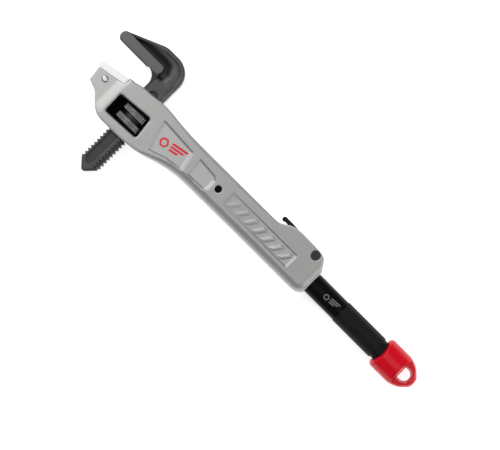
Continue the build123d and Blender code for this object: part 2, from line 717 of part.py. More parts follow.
# Stud: plugs the tube's outer end and carries the cap
RING_X = 197.0
with BuildPart() as tether_stud:
    with BuildSketch(handle_plane):
        with BuildLine():
            Polyline(
                (152, 0),
                (152, TUBE_BORE_R),
                (SLEEVE_END, TUBE_BORE_R),
                (SLEEVE_END, STUD_R),
                (RING_X, STUD_R),
                (RING_X, STUD_R - 1.5),
                (RING_X + 1.5, STUD_R - 1.5),
                (RING_X + 1.5, STUD_R),
                (204, STUD_R),
                (204, 0),
                close=True,
            )
        make_face()
    revolve(axis=handle_axis)
save(tether_stud, "tether_stud")

with BuildPart() as cap_snap_ring:
    revolve(ring(STUD_R - 1.5, STUD_R + 1.0, RING_X, RING_X + 1.5), axis=handle_axis)
    with Locations((RING_X, AXIS_Y - STUD_R, MID)):
        Box(6, 6, 4, mode=Mode.SUBTRACT)
save(cap_snap_ring, "cap_snap_ring")

LOOP_HALF = 8.2
EYE_START = 209.4
with BuildPart() as end_cap:
    with BuildSketch(handle_plane):
        with BuildLine():
            Polyline((204.3, 0), (204.3, STUD_R), (188, STUD_R), (186, 13.6), (179.4, 13.6))
            ThreePointArc((179.4, 13.6), (180.8, 16.2), (184.6, CAP_R))
            Line((184.6, CAP_R), (203.5, CAP_R))
            Spline(
                (203.5, CAP_R), (213.25, 15.5), (218.25, 12.9), (223.25, 8.3), (CAP_TIP, 0),
                tangents=((1, 0), (0, -1)),
            )
            Line((CAP_TIP, 0), (204.3, 0))
        make_face()
    revolve(axis=handle_axis)
    with BuildSketch(handle_plane):
        with Locations((RING_X + 0.75, STUD_R / 2 + 0.6)):
            Rectangle(1.5, STUD_R + 1.2)
    revolve(axis=handle_axis, mode=Mode.SUBTRACT)
    # saddle-shaped mouth: higher at the sides than above and below
    with BuildSketch(along(-20)):
        with BuildLine():
            ThreePointArc((187.0, MID + 20), (179.4, MID), (187.0, MID - 20))
            Polyline((187.0, MID - 20), (170, MID - 20), (170, MID + 20), (187.0, MID + 20))
        make_face()
    extrude(amount=-60, mode=Mode.SUBTRACT)
    # loop flattened above and below
    for side in (-1, 1):
        with BuildSketch(along(-20)):
            with BuildLine():
                Polyline(
                    (205.4, MID + side * 19),
                    (209.0, MID + side * LOOP_HALF),
                    (230, MID + side * LOOP_HALF),
                    (230, MID + side * 19),
                    close=True,
                )
            make_face()
        extrude(amount=-60, mode=Mode.SUBTRACT)
    # D-shaped eye, flared towards both faces
    for side in (-1, 1):
        for level, grow in ((0, 0), (LOOP_HALF + 0.1, 2.2)):
            with BuildSketch(handle_plane.offset(side * level)):
                with BuildLine():
                    Line((EYE_START, -6.2 - grow), (EYE_START, 6.2 + grow))
                    Line((EYE_START, 6.2 + grow), (213, 6.2 + grow))
                    ThreePointArc((213, 6.2 + grow), (219.8 + grow, 0), (213, -6.2 - grow))
                    Line((213, -6.2 - grow), (EYE_START, -6.2 - grow))
                make_face()
        loft(ruled=True, mode=Mode.SUBTRACT)
save(end_cap, "end_cap")
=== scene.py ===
# %% [markdown]
# # An adaptable pipe wrench
#
# The wrench lies flat on a pale floor, hook to the upper side. The CAD frame gives every working
# piece at its true size: the aluminium housing, the hook jaw on its knurled nut, the lever and the
# pull-out handle. This lesson gives them their finishes, and rebuilds in Blender the few pieces
# whose look depends on soft edges or on a fine repeated pattern.
#
# Everything is in metres, with X along the handle, Y towards the hook and Z up.

import json
import math

import bmesh
import bpy
import numpy as np
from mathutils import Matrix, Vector

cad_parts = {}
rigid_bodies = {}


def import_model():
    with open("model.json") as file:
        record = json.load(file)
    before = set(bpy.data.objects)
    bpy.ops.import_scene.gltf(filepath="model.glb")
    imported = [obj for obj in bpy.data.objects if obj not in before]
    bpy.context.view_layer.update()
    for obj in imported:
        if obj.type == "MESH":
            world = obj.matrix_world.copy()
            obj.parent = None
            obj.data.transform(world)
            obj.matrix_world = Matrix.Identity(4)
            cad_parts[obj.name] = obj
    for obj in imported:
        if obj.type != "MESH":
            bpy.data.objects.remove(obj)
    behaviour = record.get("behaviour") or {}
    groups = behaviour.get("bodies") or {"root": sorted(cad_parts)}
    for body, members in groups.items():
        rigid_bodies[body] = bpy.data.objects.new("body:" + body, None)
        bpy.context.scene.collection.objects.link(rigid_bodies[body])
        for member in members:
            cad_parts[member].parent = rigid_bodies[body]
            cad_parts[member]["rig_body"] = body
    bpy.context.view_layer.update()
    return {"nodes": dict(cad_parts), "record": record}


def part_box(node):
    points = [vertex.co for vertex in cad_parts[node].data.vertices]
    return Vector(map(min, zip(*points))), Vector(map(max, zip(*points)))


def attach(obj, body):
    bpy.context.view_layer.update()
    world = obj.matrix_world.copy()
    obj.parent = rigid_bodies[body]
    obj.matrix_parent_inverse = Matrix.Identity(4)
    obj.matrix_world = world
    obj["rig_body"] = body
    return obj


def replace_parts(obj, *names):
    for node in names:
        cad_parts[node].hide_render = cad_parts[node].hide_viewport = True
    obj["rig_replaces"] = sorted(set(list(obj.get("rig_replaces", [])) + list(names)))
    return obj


MM = 0.001
MID = 0.018  # height of the plane that halves the wrench
SHANK_X = -0.158  # axis of the nut and of the hook's threaded shank

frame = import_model()
nodes = frame["nodes"]

# %% [markdown]
# ## Shader maths as plain expressions
#
# A finish is a small formula over the surface: grain here, wear there, a printed stripe between two
# places. Written node by node such a formula is hard to read. A `Field` wraps one number that
# varies over the surface, and its operators add the Math nodes, so a mask reads like arithmetic.

# %% Field: a number that varies over a surface


class Field:
    """A value socket whose operators add Math nodes to its finish."""

    def __init__(self, finish, socket):
        self.finish, self.socket = finish, socket

    def maths(self, operation, first, second=0.0):
        math_node = self.finish.node("ShaderNodeMath", {"operation": operation}, {0: first, 1: second})
        return Field(self.finish, math_node.outputs[0])

    def __add__(self, other):
        return self.maths("ADD", self, other)

    def __radd__(self, other):
        return self.maths("ADD", other, self)

    def __sub__(self, other):
        return self.maths("SUBTRACT", self, other)

    def __rsub__(self, other):
        return self.maths("SUBTRACT", other, self)

    def __mul__(self, other):
        return self.maths("MULTIPLY", self, other)

    def __rmul__(self, other):
        return self.maths("MULTIPLY", other, self)

    def __abs__(self):
        return self.maths("ABSOLUTE", self)

    def root(self):
        return self.maths("SQRT", self)

    def either(self, other):
        return self.maths("MAXIMUM", self, other)

    def ramp(self, low, high):
        """0 below low, 1 above high, and a smooth step between them; low may be the larger."""
        step = self.finish.node(
            "ShaderNodeMapRange",
            {"interpolation_type": "SMOOTHSTEP"},
            {"Value": self, "From Min": low, "From Max": high},
        )
        return Field(self.finish, step.outputs[0])


# %% [markdown]
# `Finish` is one material. Its `node` method makes any node: settings first, then the sockets, each
# with a number, a colour, a socket or a `Field`. Noise is asked for by the size of its grain in
# millimetres, because that is how a surface is judged by eye and thumb.

# %% Finish: one material


class Finish:
    """A Principled material that is built up by small calls."""

    def __init__(self, name, **constants):
        self.material = bpy.data.materials.new(name)
        self.material.use_nodes = True
        self.tree = self.material.node_tree
        self.tree.nodes.clear()
        self.shader = self.node("ShaderNodeBsdfPrincipled", {}, constants)
        self.node("ShaderNodeOutputMaterial", {}, {"Surface": self.shader.outputs[0]})
        self.place = self.node("ShaderNodeTexCoord").outputs["Object"]
        axes = self.node("ShaderNodeSeparateXYZ", {}, {0: self.place})
        self.x, self.y, self.z = (Field(self, axes.outputs[i]) for i in range(3))
        stored = self.node("ShaderNodeAttribute", {"attribute_name": "edge"})
        self.edge = Field(self, stored.outputs["Fac"])

    def node(self, kind, settings=None, sockets=None):
        made = self.tree.nodes.new(kind)
        for key, value in (settings or {}).items():
            setattr(made, key, value)
        for key, value in (sockets or {}).items():
            self.feed(made.inputs[key], value)
        return made

    def feed(self, socket, value):
        if isinstance(value, Field):
            value = value.socket
        if isinstance(value, bpy.types.NodeSocket):
            self.tree.links.new(value, socket)
        else:
            socket.default_value = value

    def set(self, **values):
        """Feed shader sockets by name, with underscores for spaces."""
        for key, value in values.items():
            self.feed(self.shader.inputs[key.replace("_", " ")], value)
        return self

    def noise(self, grain_mm, detail=3.0, stretch=(1, 1, 1), offset=0.0):
        """Noise from 0 to 1 with grains of about grain_mm, drawn out along an axis by stretch."""
        scale = [1 / (grain_mm * MM * pull) for pull in stretch]
        spot = self.node("ShaderNodeMapping", {}, {"Vector": self.place, "Scale": scale})
        spot.inputs["Location"].default_value = (offset, offset * 1.7, offset * 2.3)
        sockets = {"Vector": spot.outputs[0], "Scale": 1.0, "Detail": detail, "Roughness": 0.5}
        cloud = self.node("ShaderNodeTexNoise", {}, sockets)
        return Field(self, cloud.outputs[0])

    def cells(self, grain_mm):
        """Distance from the nearest of many scattered points, for pits and peened spots."""
        scale = [1 / (grain_mm * MM)] * 3
        spot = self.node("ShaderNodeMapping", {}, {"Vector": self.place, "Scale": scale})
        scatter = self.node("ShaderNodeTexVoronoi", {}, {"Vector": spot.outputs[0], "Scale": 1.0})
        return Field(self, scatter.outputs["Distance"])

    def mix(self, amount, first, second):
        """A colour from first to second as amount goes from 0 to 1."""
        sockets = {"Factor": amount, "A": colour(first), "B": colour(second)}
        blend = self.node("ShaderNodeMix", {"data_type": "RGBA"}, sockets)
        return blend.outputs["Result"]

    def bump(self, height, depth_mm, strength):
        """A Normal socket from a height field that is depth_mm high."""
        sockets = {"Height": height, "Distance": depth_mm * MM, "Strength": strength}
        return self.node("ShaderNodeBump", {}, sockets).outputs[0]


def colour(value):
    """A grey number, an RGB triple or a socket, as a Mix node wants it."""
    if isinstance(value, bpy.types.NodeSocket):
        return value
    if isinstance(value, (int, float)):
        value = (value, value, value)
    return (*value, 1.0)


print("shader helpers:", Field.__name__, "and", Finish.__name__)

# %% [markdown]
# ## The studio
#
# A tool like this is shown from straight above, lying on white. The camera hangs over the middle of
# the wrench and is turned by an eighth of a turn, so the handle runs down to the right. A long lens
# from two metres up keeps the sides from showing. A wide soft ceiling keeps the flat faces even. One
# soft panel stands low beyond each end of the tool and a third one high over the head's end, so a
# face that slopes towards an end goes lighter. A small one brings up the jaws, and the room is dim.

# %% Camera, floor and lights
scene = bpy.context.scene
scene.view_settings.view_transform = "Standard"

LENS_MM = 150
SENSOR_MM = 36
VIEW_WIDTH = 0.5  # metres of floor across the picture
camera_data = bpy.data.cameras.new("camera")
camera_data.lens = LENS_MM
camera_data.sensor_width = SENSOR_MM
camera = bpy.data.objects.new("camera", camera_data)
scene.collection.objects.link(camera)
camera.location = (-0.00092, 0.00629, MID + VIEW_WIDTH * LENS_MM / SENSOR_MM)
camera.rotation_euler = (0, 0, math.radians(45))
scene.camera = camera


def panel_light(name, place, aim, width, height, watts):
    """A soft rectangular light at place, turned to face aim."""
    data = bpy.data.lights.new(name, "AREA")
    data.shape = "RECTANGLE"
    data.size, data.size_y, data.energy = width, height, watts
    light = bpy.data.objects.new(name, data)
    scene.collection.objects.link(light)
    light.location = place
    light.rotation_euler = (Vector(aim) - Vector(place)).to_track_quat("-Z", "Y").to_euler()
    print(f"{name}: {watts} W")


panel_light("ceiling", (0.0, 0.15, 2.6), (0, 0, 0), 1.9, 1.9, 10)
panel_light("over_jaws", (-0.42, 0.02, 0.7), (-0.24, 0, 0), 0.3, 0.3, 0.45)
panel_light("over_head", (-1.5, 0.35, 2.0), (-0.1, 0, 0), 1.0, 1.2, 14)
panel_light("head_end", (-1.4, 0.4, 0.8), (-0.1, 0, 0), 0.8, 1.3, 8)
panel_light("cap_end", (1.5, 0.35, 0.9), (0, 0, 0), 0.9, 1.3, 9)

world = bpy.data.worlds.new("room")
scene.world = world
world.use_nodes = True
world.node_tree.nodes["Background"].inputs["Color"].default_value = (0.2, 0.2, 0.205, 1)
world.node_tree.nodes["Background"].inputs["Strength"].default_value = 1.0

floor_finish = Finish("floor_paper", Roughness=0.9)
shade = floor_finish.noise(900, detail=1)
floor_finish.set(
    Base_Color=floor_finish.mix(shade, (0.93, 0.93, 0.93), (0.95, 0.95, 0.95)),
    Normal=floor_finish.bump(floor_finish.noise(2.0), 0.02, 0.3),
)
floor_finish.shader.inputs["Emission Color"].default_value = (1, 1, 1, 1)
floor_finish.shader.inputs["Emission Strength"].default_value = 0.65
floor_mesh = bpy.data.meshes.new("floor")
floor_mesh.from_pydata([(-4, -4, 0), (4, -4, 0), (4, 4, 0), (-4, 4, 0)], [], [(0, 1, 2, 3)])
floor_mesh.materials.append(floor_finish.material)
floor = bpy.data.objects.new("floor", floor_mesh)
scene.collection.objects.link(floor)
floor.location.z = -0.0002
print("camera at", [round(v, 3) for v in camera.location])

# %% [markdown]
# ## Soft-edged copies
#
# Castings, forgings and mouldings have no knife edges: metal and plastic come out of a mould with
# every corner rounded. A CAD solid has sharp ones. `softened` takes a merged copy of a solid, skins
# it with small even faces, relaxes them so the corners round over, and thins them out again. It
# also stores how much each point stands proud of its surroundings in an attribute called `edge`, so
# a finish can rub the corners bright and darken the hollows with painted shade. On the hook the bright
# corners are partly a painted highlight.

# %% Softened copies of CAD solids
def merged_copy(node_name, piece_name):
    """A new object with the node's mesh, its loose triangles joined into one skin."""
    mesh = nodes[node_name].data.copy()
    mesh.name = piece_name
    skin = bmesh.new()
    skin.from_mesh(mesh)
    bmesh.ops.remove_doubles(skin, verts=skin.verts, dist=1e-6)
    skin.to_mesh(mesh)
    skin.free()
    mesh.normals_split_custom_set_from_vertices([(0, 0, 0)] * len(mesh.vertices))
    piece = bpy.data.objects.new(piece_name, mesh)
    scene.collection.objects.link(piece)
    return piece


def apply_modifiers(piece):
    """Bake the piece's modifiers into its mesh."""
    depsgraph = bpy.context.evaluated_depsgraph_get()
    mesh = bpy.data.meshes.new_from_object(piece.evaluated_get(depsgraph))
    piece.modifiers.clear()
    piece.data = mesh
    return mesh


def point_places(mesh):
    """Every point of a mesh as a row of a numpy array."""
    places = np.empty(len(mesh.vertices) * 3)
    mesh.vertices.foreach_get("co", places)
    return places.reshape(-1, 3)


def store_edges(mesh, full_mm):
    """Attribute edge: 1 on a corner that is proud of its neighbours by full_mm, -1 in a hollow."""
    places = point_places(mesh)
    count = len(places)
    normals = np.empty(count * 3)
    mesh.vertex_normals.foreach_get("vector", normals)
    normals = normals.reshape(-1, 3)
    pairs = np.empty(len(mesh.edges) * 2, dtype=np.int32)
    mesh.edges.foreach_get("vertices", pairs)
    first, second = pairs.reshape(-1, 2).T
    around = np.bincount(first, minlength=count) + np.bincount(second, minlength=count)

    def average(values):
        total = np.bincount(first, values[second], count) + np.bincount(second, values[first], count)
        return total / np.maximum(around, 1)

    centre = np.stack([average(places[:, axis]) for axis in range(3)], axis=1)
    proud = ((places - centre) * normals).sum(axis=1)
    for _ in range(2):
        proud = (proud + average(proud)) / 2
    stored = mesh.attributes.new("edge", "FLOAT", "POINT")
    stored.data.foreach_set("value", np.clip(proud / (full_mm * MM), -1, 1).astype(np.float32))


def softened(node_name, voxel_mm, rounds, keep=1.0, shape=None):
    """A smooth, rounded copy of a CAD solid that takes its place."""
    piece = merged_copy(node_name, "soft_" + node_name)
    skin = piece.modifiers.new("skin", "REMESH")
    skin.mode = "VOXEL"
    skin.voxel_size = voxel_mm * MM
    apply_modifiers(piece)
    if shape:
        shape(piece)
    relax = piece.modifiers.new("relax", "SMOOTH")
    relax.factor, relax.iterations = 0.5, rounds
    relax.vertex_group = "blunt" if "blunt" in piece.vertex_groups else ""
    if keep < 1:
        thin = piece.modifiers.new("thin", "DECIMATE")
        thin.ratio = keep
    mesh = apply_modifiers(piece)
    mesh.shade_smooth()
    store_edges(mesh, voxel_mm / 12)
    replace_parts(piece, node_name)
    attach(piece, nodes[node_name]["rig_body"])
    print(f"{piece.name}: {sum(len(p.vertices) - 2 for p in mesh.polygons)} triangles")


def near_route(places, route):
    """Each place's distance in the XY plane from a broken line of points in millimetres."""
    nearest = np.full(len(places), 1e9)
    for start, end in zip(route, route[1:]):
        start, end = np.array(start) * MM, np.array(end) * MM
        run = end - start
        share = np.clip(((places[:, :2] - start) @ run) / (run @ run), 0, 1)
        gap = np.linalg.norm(places[:, :2] - (start + share[:, None] * run), axis=1)
        nearest = np.minimum(nearest, gap)
    return nearest


def smooth_step(values, low, high):
    """0 at low, 1 at high, and a smooth step between them."""
    share = np.clip((values - low) / (high - low), 0, 1)
    return share * share * (3 - 2 * share)


def arc_points(centre, radius, start, end, count=7):
    """Points in millimetres on an arc between two angles in degrees."""
    angles = np.radians(np.linspace(start, end, count))
    return [(centre[0] + radius * math.cos(a), centre[1] + radius * math.sin(a)) for a in angles]


# places on the hook in millimetres, in the plane of its face
HOOK_BEND = (-168.8, 53.4)
VALLEY = [(-222, 57.2), (-175.5, 58.3), (-171.2, 56.9), (-168.9, 52.5), (-169.6, 46.5)]
RIM = [(-226, 55.6), (-188.75, 71.4), (-178.75, 73.6), *arc_points(HOOK_BEND, 20.2, 90, 0), (-148.6, 40)]
SCORE = [(-188, 66.3), (-178.75, 68.9), *arc_points(HOOK_BEND, 15.6, 90, 0), (-151.2, 44), (-151.2, 28)]
STRIP_END = [(-200, 51.85), (-175.5, 51.85)]
# the same hook's sizes in metres
STRIP_TOP_Y = 0.0573
STRIP_END_X = -0.171
STRIP_END_RADIUS = 0.0054
TEETH_Y = 0.0466
JAW_HALF = 0.0092
FACE_BAND = 0.0085
VALLEY_DEPTH, VALLEY_WIDTH = 0.0038, 0.0056
SCORE_DEPTH, SCORE_WIDTH = 0.0007, 0.0006


def forge_the_hook(piece):
    """Give the hook one smooth hollow beside its tooth strip, and a scored line along its back."""
    mesh = piece.data
    places = point_places(mesh)
    side = places[:, 2] - MID
    height = np.abs(side)
    from_rim = near_route(places, RIM)
    above_strip = places[:, 1] > STRIP_TOP_Y
    off_strip = above_strip | (near_route(places, STRIP_END) > STRIP_END_RADIUS)
    on_face = (height > 0.0060) & off_strip & (places[:, 1] > 0.0425) & (from_rim > 0.0016)
    on_face &= (places[:, 0] > STRIP_END_X) | above_strip
    valley = np.exp(-((near_route(places, VALLEY) / VALLEY_WIDTH) ** 2))
    valley *= smooth_step(from_rim, 0.0014, 0.0052) * smooth_step(places[:, 1], 0.0425, 0.049)
    score = np.exp(-((near_route(places, SCORE) / SCORE_WIDTH) ** 2)) * (height > FACE_BAND)
    hollowed = JAW_HALF - VALLEY_DEPTH * valley - SCORE_DEPTH * score
    scored = height - SCORE_DEPTH * score
    places[:, 2] = MID + np.sign(side) * np.where(on_face, hollowed, scored)
    teeth = (places[:, 1] < TEETH_Y) & (places[:, 0] < -0.184) & (places[:, 1] > 0.040)
    places[:, 1] = np.where(teeth, TEETH_Y + (places[:, 1] - TEETH_Y) * 1.4, places[:, 1])
    mesh.vertices.foreach_set("co", places.ravel())
    # teeth and thread stay crisper than the forging round them
    working = ((places[:, 1] < 0.0480) & (places[:, 0] < -0.173)) | (places[:, 1] < 0.005)
    blunt = piece.vertex_groups.new(name="blunt")
    for chosen, strength in ((~working, 1.0), (working, 0.3)):
        for index in np.nonzero(chosen)[0]:
            blunt.add([int(index)], strength, "REPLACE")


def ease_the_ramp(piece):
    """Let the nose rise into the head without a crease, by smoothing heights only."""
    places = point_places(piece.data)
    along = smooth_step(places[:, 0], -0.202, -0.197) * smooth_step(places[:, 0], -0.1825, -0.1845)
    strength = along * (np.abs(places[:, 2] - MID) > 0.0155)
    ramp = piece.vertex_groups.new(name="ramp")
    for index in np.nonzero(strength > 0.02)[0]:
        ramp.add([int(index)], float(strength[index]), "REPLACE")
    ease = piece.modifiers.new("ease", "SMOOTH")
    ease.factor, ease.iterations, ease.vertex_group = 0.5, 50, "ramp"
    ease.use_x = ease.use_y = False


softened("housing", 0.6, 6, keep=0.46, shape=ease_the_ramp)
softened("hook_jaw", 0.42, 3, keep=0.7, shape=forge_the_hook)
softened("end_cap", 0.35, 4, keep=0.5)

# %% [markdown]
# ## The knurl
#
# A worn thumb still finds grip on the adjusting nut because its two bands are knurled in squares.
# The tool that rolls them leaves rows of small blunt pyramids. One pyramid is modelled, and Geometry
# Nodes sets it round the band in rows, each turned to stand straight out from the nut's axis.

# %% Knurl of the adjusting nut
def knurl_nodes():
    """A node group that sets one blunt pyramid round a band, row after row."""
    group = bpy.data.node_groups.new("knurled_band", "GeometryNodeTree")
    face = group.interface
    for name, kind, start in (
        ("Around", "NodeSocketInt", 40),
        ("Rows", "NodeSocketInt", 3),
        ("Row Pitch", "NodeSocketFloat", 0.002),
        ("Radius", "NodeSocketFloat", 0.0159),
        ("Centre", "NodeSocketVector", (0, 0, 0)),
        ("Material", "NodeSocketMaterial", None),
    ):
        made = face.new_socket(name, in_out="INPUT", socket_type=kind)
        if start is not None:
            made.default_value = start
    face.new_socket("Geometry", in_out="OUTPUT", socket_type="NodeSocketGeometry")
    links = group.links

    def node(kind, settings=None, sockets=None):
        made = group.nodes.new(kind)
        for key, value in (settings or {}).items():
            setattr(made, key, value)
        for key, value in (sockets or {}).items():
            if isinstance(value, bpy.types.NodeSocket):
                links.new(value, made.inputs[key])
            else:
                made.inputs[key].default_value = value
        return made

    def maths(operation, first, second=0.0):
        return node("ShaderNodeMath", {"operation": operation}, {0: first, 1: second}).outputs[0]

    given = node("NodeGroupInput").outputs
    index = node("GeometryNodeInputIndex").outputs[0]
    total = maths("MULTIPLY", given["Around"], given["Rows"])
    points = node("GeometryNodePoints", {}, {"Count": total, "Radius": 0.001})
    row = maths("FLOOR", maths("DIVIDE", maths("ADD", index, 0.5), given["Around"]))
    step = maths("DIVIDE", 2 * math.pi, given["Around"])
    turn = maths("MULTIPLY", maths("ADD", index, 0.5), step)
    outward = node(
        "ShaderNodeCombineXYZ",
        {},
        {
            0: maths("MULTIPLY", maths("SINE", turn), given["Radius"]),
            1: maths("MULTIPLY", row, given["Row Pitch"]),
            2: maths("MULTIPLY", maths("COSINE", turn), given["Radius"]),
        },
    )
    sum_of = {0: outward.outputs[0], 1: given["Centre"]}
    spot = node("ShaderNodeVectorMath", {"operation": "ADD"}, sum_of)
    moved = {"Geometry": points.outputs[0], "Position": spot.outputs[0]}
    placed = node("GeometryNodeSetPosition", {}, moved)
    pyramid = node(
        "GeometryNodeMeshCone",
        {"fill_type": "NGON"},
        {"Vertices": 4, "Radius Top": 0.0005, "Radius Bottom": 0.00112, "Depth": 0.00075},
    )
    quarter = {"Rotation": (0, 0, math.radians(45)), "Scale": (1.08, 0.92, 1)}
    squared = node("GeometryNodeTransform", {}, {"Geometry": pyramid.outputs["Mesh"], **quarter})
    stand = node("ShaderNodeCombineXYZ", {}, {1: turn})
    studs = node(
        "GeometryNodeInstanceOnPoints",
        {},
        {"Points": placed.outputs[0], "Instance": squared.outputs[0], "Rotation": stand.outputs[0]},
    )
    real = node("GeometryNodeRealizeInstances", {}, {"Geometry": studs.outputs[0]})
    skinned = {"Geometry": real.outputs[0], "Material": given["Material"]}
    dressed = node("GeometryNodeSetMaterial", {}, skinned)
    node("NodeGroupOutput", {}, {"Geometry": dressed.outputs[0]})
    return group


def knurled_band(name, group, material, **values):
    """One band of the knurl as a mesh piece that rides on the nut."""
    piece = bpy.data.objects.new(name, bpy.data.meshes.new(name))
    scene.collection.objects.link(piece)
    roll = piece.modifiers.new("roll", "NODES")
    roll.node_group = group
    for socket in group.interface.items_tree:
        key = socket.name.lower().replace(" ", "_")
        if socket.in_out == "INPUT" and key in values:
            roll[socket.identifier] = values[key]
        if socket.in_out == "INPUT" and key == "material":
            roll[socket.identifier] = material
    mesh = apply_modifiers(piece)
    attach(piece, "nut")
    print(f"{name}: {len(mesh.polygons)} faces")


# %% [markdown]
# ## The metals
#
# The housing is cast aluminium, blasted and clear-coated: an even pale grey with a fine grain, broad
# soft waves from the mould and a faint parting line half way up its sides. The hook is drop forged
# and blackened, a little mottled, with its teeth and thread cut bright afterwards. The heel jaw and
# its pin are ground and plated, so they are almost white.


# %% Cast, forged and plated metal
def cast_aluminium():
    finish = Finish("cast_aluminium", Metallic=0.7)
    grain = finish.noise(0.45, detail=2)
    waves = finish.noise(9, detail=2, offset=3)
    blotch = finish.noise(28, detail=3, offset=7)
    parting = abs(finish.z - MID).ramp(0.0005, 0.0002)
    # painted shade: the hollows, where points sit below their neighbours, are darkened; the proud corners
    # are rubbed bright as wear
    proud, hollow_shade = finish.edge.ramp(0.05, 0.9), finish.edge.ramp(-0.05, -0.9)
    sunk_panels = abs(finish.z - MID).ramp(0.01745, 0.0170)
    pits = finish.cells(1.6).ramp(0.13, 0.05) * blotch.ramp(0.45, 0.6)
    mottle = grain * 0.16 + waves * 0.1 + blotch * 0.12 + parting * 0.1 - pits * 0.2
    tone = mottle + proud * 0.35 - hollow_shade * 0.14 + sunk_panels * 0.13 + 0.2
    finish.set(
        Base_Color=finish.mix(tone, (0.265, 0.265, 0.26), (0.63, 0.625, 0.612)),
        Roughness=grain * 0.14 + blotch * 0.08 + 0.40,
        Normal=finish.bump(grain * 0.7 + waves * 2.2 - pits * 1.2 + parting * 0.8, 0.035, 0.8),
    )
    return finish


CHANNEL_X = -0.1602  # middle of the long channel in the shank's face


def forged_steel():
    """Black oxide over forging, with the tooth strip and the thread's crests cut after it, painted shade
    in the web's hollow, the channel and on the teeth, and edges rubbed bright partly as a painted
    highlight.
    """
    finish = Finish("forged_steel", Metallic=0.65)
    scale = finish.noise(5, detail=4, offset=2)
    fine = finish.noise(0.6, detail=3)
    cuts = finish.noise(0.5, detail=2, stretch=(0.3, 6, 6))
    raised = abs(finish.z - MID).ramp(0.00915, 0.00935)
    on_strip = finish.x.ramp(-0.1695, -0.1705) * finish.y.ramp(0.0455, 0.0461) * raised
    # painted shade: the teeth below the strip's top are darkened as if shaded
    teeth_shade = finish.x.ramp(-0.169, -0.171) * finish.y.ramp(0.0488, 0.0482)
    off_shank = abs(finish.x - SHANK_X).ramp(0.0095, 0.0122) * finish.y.ramp(0.0, -0.012)
    # edges rubbed bright: partly wear, partly a painted highlight along the proud edges
    rubbed = finish.edge.ramp(0.15, 0.8) * fine.ramp(0.3, 0.6)
    bare = on_strip.either(off_shank * 0.4).either(rubbed * 0.45)
    # painted shade: the deep web beside the tooth strip and the floor of the shank's channel are darkened
    # as if shaded
    hollow = abs(finish.z - MID).ramp(0.0089, 0.0076) * finish.y.ramp(0.042, 0.046)
    in_channel = abs(finish.x - CHANNEL_X).ramp(0.0050, 0.0044) * abs(finish.z - MID).ramp(0.0084, 0.0070)
    crust = finish.mix(scale * 0.7 + fine * 0.3, (0.045, 0.044, 0.046), (0.09, 0.088, 0.086))
    # all the painted shade, mixed into the crust towards near black
    painted_shade = hollow.either(teeth_shade).either(in_channel * finish.y.ramp(0.040, 0.036) * 0.5)
    dark = finish.mix(painted_shade * 0.75, crust, (0.012, 0.012, 0.013))
    bright = finish.mix(cuts, (0.075, 0.073, 0.072), (0.14, 0.137, 0.135))
    finish.set(
        Base_Color=finish.mix(bare, dark, bright),
        Roughness=0.42 + fine * 0.12 - scale * 0.08,
        Normal=finish.bump(scale * 1.6 + fine * 0.5 + cuts * bare * 0.6, 0.05, 0.7),
    )
    return finish


def plated_steel():
    finish = Finish("plated_steel", Metallic=0.85)
    grinding = finish.noise(0.35, detail=2, stretch=(14, 1, 14))
    haze = finish.noise(7, detail=3, offset=5)
    finish.set(
        Base_Color=finish.mix(grinding * 0.6 + haze * 0.4, (0.54, 0.538, 0.53), (0.74, 0.735, 0.725)),
        Roughness=0.28 + haze * 0.14 + grinding * 0.08,
        Normal=finish.bump(grinding, 0.012, 0.7),
    )
    return finish


def blackened_steel():
    """Oiled black oxide, rubbed to bare steel where hands and threads work, with a near-white painted
    highlight on the rings just inside the bands.
    """
    finish = Finish("blackened_steel")
    rub = finish.noise(2.2, detail=4, offset=4)
    fine = finish.noise(0.3, detail=2)
    across, up = finish.x - SHANK_X, finish.z - MID
    from_axis = (across * across + up * up).root()
    on_bands = from_axis.ramp(0.0149, 0.0154) * from_axis.ramp(0.0176, 0.0171)
    # painted highlight: a near-white, almost non-metallic ring on the smooth turned surface just inside
    # the knurled bands
    ring_highlight = from_axis.ramp(0.01425, 0.0141) * from_axis.ramp(0.0125, 0.0128)
    worn = on_bands * (rub * 0.5 + 0.5)
    oiled = finish.mix(worn, finish.mix(fine, 0.010, 0.024), finish.mix(rub, 0.22, 0.45))
    finish.set(
        Base_Color=finish.mix(ring_highlight * 0.95, oiled, 0.9),
        Metallic=0.6 - ring_highlight * 0.5,
        Roughness=0.34 + rub * 0.12,
        Normal=finish.bump(fine + rub, 0.015, 0.6),
    )
    finish.shader.inputs["Specular IOR Level"].default_value = 0.3
    return finish


def screw_steel():
    """Black oxide on the screw's turned head, dulled by the key that fits it."""
    finish = Finish("screw_steel", Metallic=0.6)
    turned = finish.noise(0.3, detail=3)
    rub = finish.noise(1.8, detail=3, offset=8)
    finish.set(
        Base_Color=finish.mix(turned * 0.5 + rub * 0.5, 0.02, 0.075),
        Roughness=0.36 + rub * 0.14,
        Normal=finish.bump(turned + rub, 0.015, 0.6),
    )
    return finish


def polished_steel():
    finish = Finish("polished_steel", Metallic=0.95)
    turned = finish.noise(0.4, detail=2)
    finish.set(
        Base_Color=finish.mix(turned, 0.3, 0.5),
        Roughness=0.1 + turned * 0.08,
        Normal=finish.bump(turned, 0.006, 0.4),
    )
    return finish


def spring_steel():
    finish = Finish("spring_steel", Metallic=0.9)
    drawn = finish.noise(0.25, detail=2, stretch=(10, 1, 1))
    finish.set(
        Base_Color=finish.mix(drawn, 0.22, 0.4),
        Roughness=0.3 + drawn * 0.12,
        Normal=finish.bump(drawn, 0.01, 0.5),
    )
    return finish


